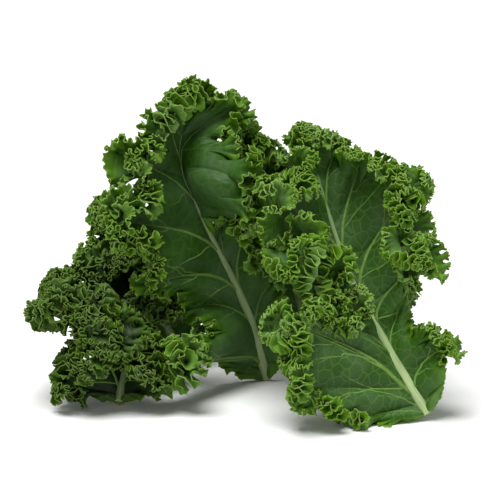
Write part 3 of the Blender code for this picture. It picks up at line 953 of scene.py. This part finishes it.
class KaleColours(bpy.types.PropertyGroup):
    """Colours of the leaves."""

    edge: colour_property("Curls", "Tissue next to the margin", "#5d8a1c")
    belt: colour_property("Belt", "Tissue behind the curls", "#376218")
    heart: colour_property("Heart", "Smooth tissue beside the midrib", "#3a5e2a")
    net: colour_property("Vein net", "The finest veins", "#6f9046")
    # The rim colour is a painted highlight along the margin's edge.
    painted_rim_highlight: colour_property("Rim", "The margin's bare edge", "#a9c864")
    glow: colour_property("Glow", "Light that comes through the blade", "#8fbf2a")
    under_edge: colour_property("Curls beneath", "Underside next to the margin", "#6b9730")
    under_belt: colour_property("Belt beneath", "Underside behind the curls", "#4a7628")
    under_heart: colour_property("Heart beneath", "Underside beside the midrib", "#4c6f3a")
    under_net: colour_property("Vein net beneath", "The finest veins on the underside", "#86a564")
    stalk: colour_property("Stalk", "Midrib near the cut end", "#b4ca90")
    stem: colour_property("Midrib", "Midrib near the leaf's tip", "#86a564")
    vein: colour_property("Side veins", "Side veins where they are thick", "#9ab878")
    twig: colour_property("Vein ends", "Side veins where they are thin", "#6b9040")
    cut: colour_property("Cut end", "Dried flesh at the stalk's cut end", "#a59a66")


class KaleStage(bpy.types.PropertyGroup):
    """Floor, light and camera."""

    floor: colour_property("Floor", "Colour of the card the bunch lies on", "#f7f7f6")
    floor_size: FloatProperty(
        name="Floor size", description="Side of the floor",
        default=40.0, min=1.0, subtype="DISTANCE", unit="LENGTH",
    )
    key_power: FloatProperty(name="Key light", description="Strength of the soft key light", default=3.35, min=0.0)
    key_softness: FloatProperty(
        name="Softness", description="Angle that the key light fills",
        default=math.radians(35), min=0.0, max=math.pi, subtype="ANGLE", unit="ROTATION",
    )
    room_light: FloatProperty(
        name="Room light", description="Strength of the light from all round", default=0.36, min=0.0,
    )
    camera_distance: FloatProperty(
        name="Camera distance", description="From the camera to the middle of the bunch",
        default=1.6, min=0.5, subtype="DISTANCE", unit="LENGTH",
    )
    camera_rise: FloatProperty(
        name="Camera rise", description="How far the camera looks down",
        default=math.radians(12), min=0.0, max=math.pi / 2, subtype="ANGLE", unit="ROTATION",
    )
    view_width: FloatProperty(
        name="View width", description="Width of what the camera sees at the bunch",
        default=0.39, min=0.05, subtype="DISTANCE", unit="LENGTH",
    )


KEY_PLACE = Vector((-0.25, -0.3, 1.75))
KEY_AIM = Vector((0, 0, 0.1))
CAMERA_AIM = Vector((0.0030, 0.0114, 0.1158))
SENSOR = 36.0  # mm


def add_object(name, mesh, *materials):
    """Links a mesh into the scene as an object with its materials."""
    thing = bpy.data.objects.new(name, mesh)
    for material in materials:
        mesh.materials.append(material)
    bpy.context.scene.collection.objects.link(thing)
    return thing


def hand_over(piece, leaf):
    """The piece rides on the fixed body and stands for the leaf's solid, which it hides."""
    if leaf.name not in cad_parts:
        raise RuntimeError(f"the packed model has no leaf named {leaf.name}")
    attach(piece, BODY)
    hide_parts(leaf.name)


def growth_of(scene):
    """What the scene's sizes say about how the leaves grow."""
    sizes = scene.kale_sizes
    return Growth(sizes.curl_depth, sizes.curl_size, round(sizes.column_gap / MM, 4))


class KALE_OT_add_blades(bpy.types.Operator):
    """Add the curled blade of every leaf, as a right and a left half"""

    bl_idname = "kale.add_blades"
    bl_label = "Add leaf blades"

    def execute(self, context):
        sizes, colours = context.scene.kale_sizes, context.scene.kale_colours
        painted_rim_highlight, glow = tuple(colours.painted_rim_highlight), tuple(colours.glow)
        above = (colours.edge, colours.belt, colours.heart, colours.net, painted_rim_highlight, glow)
        beneath = (colours.under_edge, colours.under_belt, colours.under_heart, colours.under_net, painted_rim_highlight, glow)
        for leaf in LEAVES:
            blade = grown(leaf, growth_of(context.scene))
            # The fine net of veins shows less on a leaf whose midrib is painted in deeper shade.
            net = NET_ABOVE * leaf.rib_painted_light**2
            upper = blade_material(f"waxy kale blade above {leaf.name}", above, leaf.tone, net, True)
            under = blade_material(f"waxy kale blade beneath {leaf.name}", beneath, leaf.tone, NET_BENEATH, False)
            for hand, first, last in (("right", 0, blade.tip), ("left", blade.tip, len(blade.points) - 1)):
                name = f"{leaf.name}_blade_{hand}"
                piece = add_object(name, blade_mesh(name, blade, first, last), upper, under)
                body = piece.modifiers.new("blade thickness", "SOLIDIFY")
                body.thickness = sizes.blade_thickness
                body.offset = 0
                body.material_offset = 1
                hand_over(piece, leaf)
        return {"FINISHED"}


class KALE_OT_add_midribs(bpy.types.Operator):
    """Add the stalk and midrib of every leaf"""

    bl_idname = "kale.add_midribs"
    bl_label = "Add stalks and midribs"

    def execute(self, context):
        colours = context.scene.kale_colours
        for leaf in LEAVES:
            skin = rib_material(f"kale stalk skin {leaf.name}", colours.stalk, colours.stem, leaf.rib_painted_light)
            flesh = cut_material(f"dried kale stalk flesh {leaf.name}", colours.cut, leaf.rib_painted_light)
            hand_over(add_object(f"{leaf.name}_midrib", midrib_mesh(leaf), skin, flesh), leaf)
        return {"FINISHED"}


class KALE_OT_add_veins(bpy.types.Operator):
    """Add the side veins of every leaf, with their branches and twigs"""

    bl_idname = "kale.add_veins"
    bl_label = "Add side veins"

    def execute(self, context):
        sizes, colours = context.scene.kale_sizes, context.scene.kale_colours
        tree = vein_tree()
        sockets = {item.name: item.identifier for item in tree.interface.items_tree if item.in_out == "INPUT"}
        for leaf in LEAVES:
            finish = vein_material(f"kale vein skin {leaf.name}", colours.vein, colours.twig, leaf.rib_painted_light)
            piece = add_object(f"{leaf.name}_veins", vein_mesh(leaf, grown(leaf, growth_of(context.scene))))
            bodies = piece.modifiers.new("vein bodies", "NODES")
            bodies.node_group = tree
            bodies[sockets["Sides"]] = sizes.vein_sides
            bodies[sockets["Girth"]] = sizes.vein_girth
            bodies[sockets["Finish"]] = finish
            graph = context.evaluated_depsgraph_get()
            made = bpy.data.meshes.new_from_object(piece.evaluated_get(graph), depsgraph=graph)
            if not made.polygons:
                raise RuntimeError(f"{leaf.name} got no veins")
            piece.modifiers.clear()
            piece.data = made
            hand_over(piece, leaf)
        return {"FINISHED"}


class KALE_OT_add_stage(bpy.types.Operator):
    """Add the floor, the lights and the camera"""

    bl_idname = "kale.add_stage"
    bl_label = "Add stage"

    def execute(self, context):
        scene, stage = context.scene, context.scene.kale_stage
        half = stage.floor_size / 2
        mesh = bpy.data.meshes.new("floor")
        mesh.from_pydata([(-half, -half, 0), (half, -half, 0), (half, half, 0), (-half, half, 0)], [], [(0, 1, 2, 3)])
        add_object("floor", mesh, floor_material(tuple(stage.floor)))

        scene.world = bpy.data.worlds.new("studio")
        scene.world.use_nodes = True
        room = scene.world.node_tree.nodes["Background"]
        room.inputs["Color"].default_value = (1, 1, 1, 1)
        room.inputs["Strength"].default_value = stage.room_light
        key = bpy.data.lights.new("key light", "SUN")
        key.energy = stage.key_power
        key.angle = stage.key_softness
        lamp = bpy.data.objects.new("key light", key)
        lamp.location = KEY_PLACE
        lamp.rotation_euler = (KEY_AIM - KEY_PLACE).to_track_quat("-Z", "Y").to_euler()
        scene.collection.objects.link(lamp)

        lens = bpy.data.cameras.new("camera")
        lens.sensor_width = SENSOR
        lens.lens = SENSOR * stage.camera_distance / stage.view_width
        lens.clip_end = 100  # m
        camera = bpy.data.objects.new("camera", lens)
        back = Vector((0, -math.cos(stage.camera_rise), math.sin(stage.camera_rise)))
        camera.location = CAMERA_AIM + back * stage.camera_distance
        camera.rotation_euler = back.to_track_quat("Z", "Y").to_euler()
        scene.collection.objects.link(camera)
        scene.camera = camera
        scene.view_settings.view_transform = "Standard"
        return {"FINISHED"}


class KALE_PT_bunch(bpy.types.Panel):
    """Sizes, colours and building steps of the kale bunch"""

    bl_idname = "KALE_PT_bunch"
    bl_label = "Curly kale bunch"
    bl_space_type = "VIEW_3D"
    bl_region_type = "UI"
    bl_category = "Kale"

    def draw(self, context):
        scene = context.scene
        for title, group in (("Sizes", scene.kale_sizes), ("Colours", scene.kale_colours), ("Stage", scene.kale_stage)):
            box = self.layout.box()
            box.label(text=title)
            for name in group.bl_rna.properties.keys():
                if name not in ("rna_type", "name"):
                    box.prop(group, name)
        for operator in OPERATORS:
            self.layout.operator(operator.bl_idname)


OPERATORS = (KALE_OT_add_blades, KALE_OT_add_midribs, KALE_OT_add_veins, KALE_OT_add_stage)
GROUPS = {"kale_sizes": KaleSizes, "kale_colours": KaleColours, "kale_stage": KaleStage}


def register():
    """Registers the classes and puts the groups of settings on the scene."""
    for group in (*GROUPS.values(), *OPERATORS, KALE_PT_bunch):
        bpy.utils.register_class(group)
    for name, group in GROUPS.items():
        setattr(bpy.types.Scene, name, PointerProperty(type=group))


def unregister():
    """Takes the settings and the classes away again."""
    for name in GROUPS:
        delattr(bpy.types.Scene, name)
    for group in reversed((*GROUPS.values(), *OPERATORS, KALE_PT_bunch)):
        bpy.utils.unregister_class(group)


def main():
    """Builds every piece and the stage."""
    register()
    bpy.ops.kale.add_blades()
    bpy.ops.kale.add_midribs()
    bpy.ops.kale.add_veins()
    bpy.ops.kale.add_stage()


if __name__ == "__main__":
    main()
